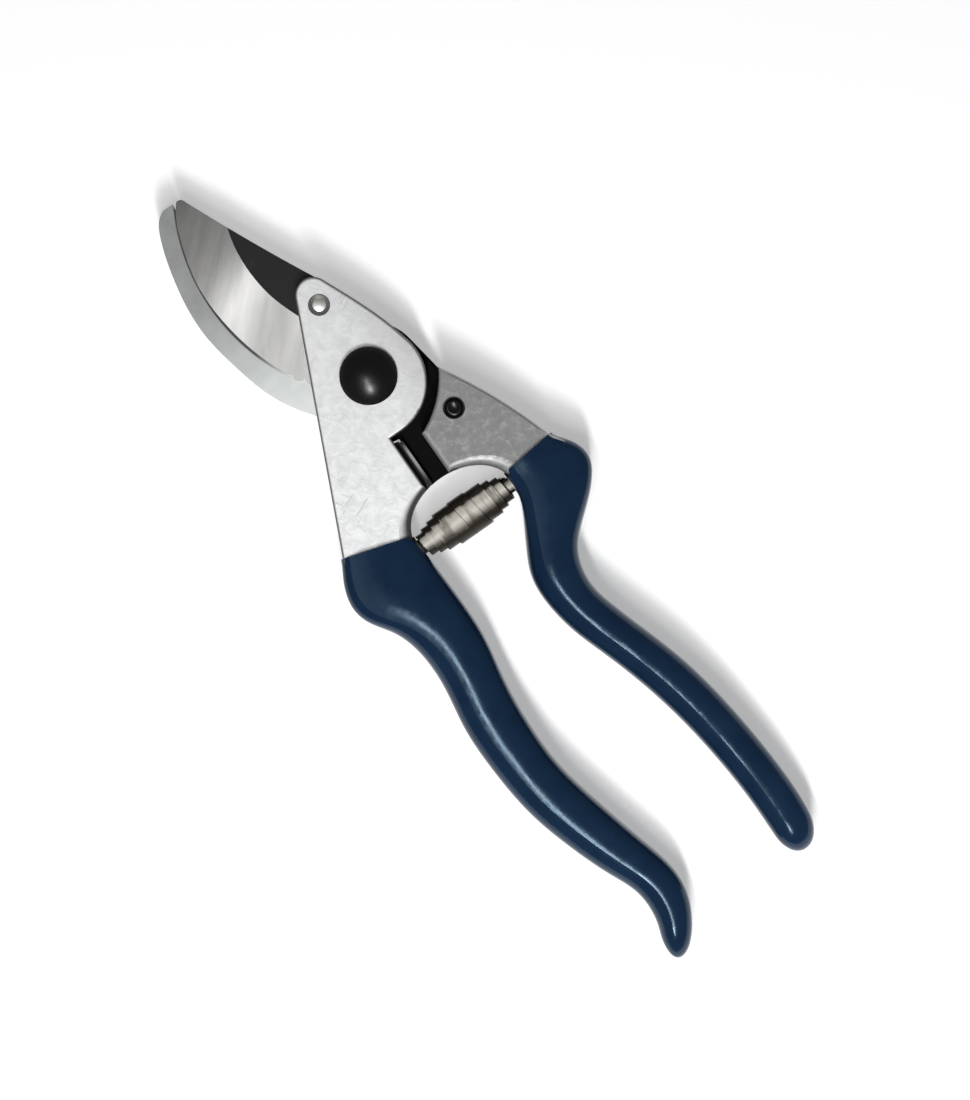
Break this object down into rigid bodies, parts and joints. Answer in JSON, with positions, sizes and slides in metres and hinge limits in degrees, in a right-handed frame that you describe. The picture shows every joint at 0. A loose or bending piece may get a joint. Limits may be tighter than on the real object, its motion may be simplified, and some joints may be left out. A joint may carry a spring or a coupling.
{
  "type": "pruning shears",
  "caption": "Bypass pruning shears with vinyl-coated handles, a cutting blade that slides past a hook, a volute spring between the grips and a thumb catch on the back.",
  "frame": {"origin": "on the pivot's axis, at the outer face of the pivot nut, which is the plane the shears lie on", "axes": "+Z out of the front, along the pivot, +Y to the blade tips, +X to the side of the handle that carries the hook"},
  "size_m": [0.0663, 0.2146, 0.0192],
  "materials": {
    "blade_handle_frame": "satin forged, clear coated",
    "blade_handle_grip": "dark blue dipped vinyl",
    "cutting_blade": "polished bevel, ground flat",
    "blade_rivet": "turned",
    "pivot_bush": "turned",
    "catch_stud": "turned",
    "stop_buffer": "matt",
    "hook_handle_frame": "blasted, slightly sparkling",
    "hook_handle_grip": "dark blue dipped vinyl",
    "hook_blade": "satin",
    "hook_rivets": "turned",
    "pivot_bolt": "black satin",
    "head_washer": "plain",
    "pivot_nut": "black oxide",
    "lock_plate": "stamped",
    "lock_screw": "black oxide",
    "catch_pin": "black oxide",
    "catch_washer": "stamped",
    "catch_lever": "stamped, satin",
    "volute_spring": "nickel plated"
  },
  "bodies": {
    "blade_handle": {"blade_handle_frame": "blade_handle_frame", "blade_handle_grip": "blade_handle_grip", "cutting_blade": "cutting_blade", "blade_rivet": "blade_rivet", "pivot_bush": "pivot_bush", "catch_stud": "catch_stud", "stop_buffer": "stop_buffer", "volute_spring": "volute_spring"},
    "hook_handle": {"hook_handle_frame": "hook_handle_frame", "hook_handle_grip": "hook_handle_grip", "hook_blade": "hook_blade", "hook_rivets": "hook_rivets", "pivot_bolt": "pivot_bolt", "head_washer": "head_washer", "pivot_nut": "pivot_nut", "lock_plate": "lock_plate", "lock_screw": "lock_screw", "catch_pin": "catch_pin", "catch_washer": "catch_washer"},
    "catch": {"catch_lever": "catch_lever"}
  },
  "joints": [
    {"name": "pivot", "type": "hinge", "parent": "blade_handle", "child": "hook_handle", "pos_m": [0, 0, 0.009], "axis": [0, 0, 1], "range_deg": [0, 25], "deforming": ["volute_spring"]},
    {"name": "catch_hinge", "type": "hinge", "parent": "hook_handle", "child": "catch", "pos_m": [0.0122, -0.0176, 0.0016], "axis": [0, 0, 1], "range_deg": [0, 20]}
  ]
}
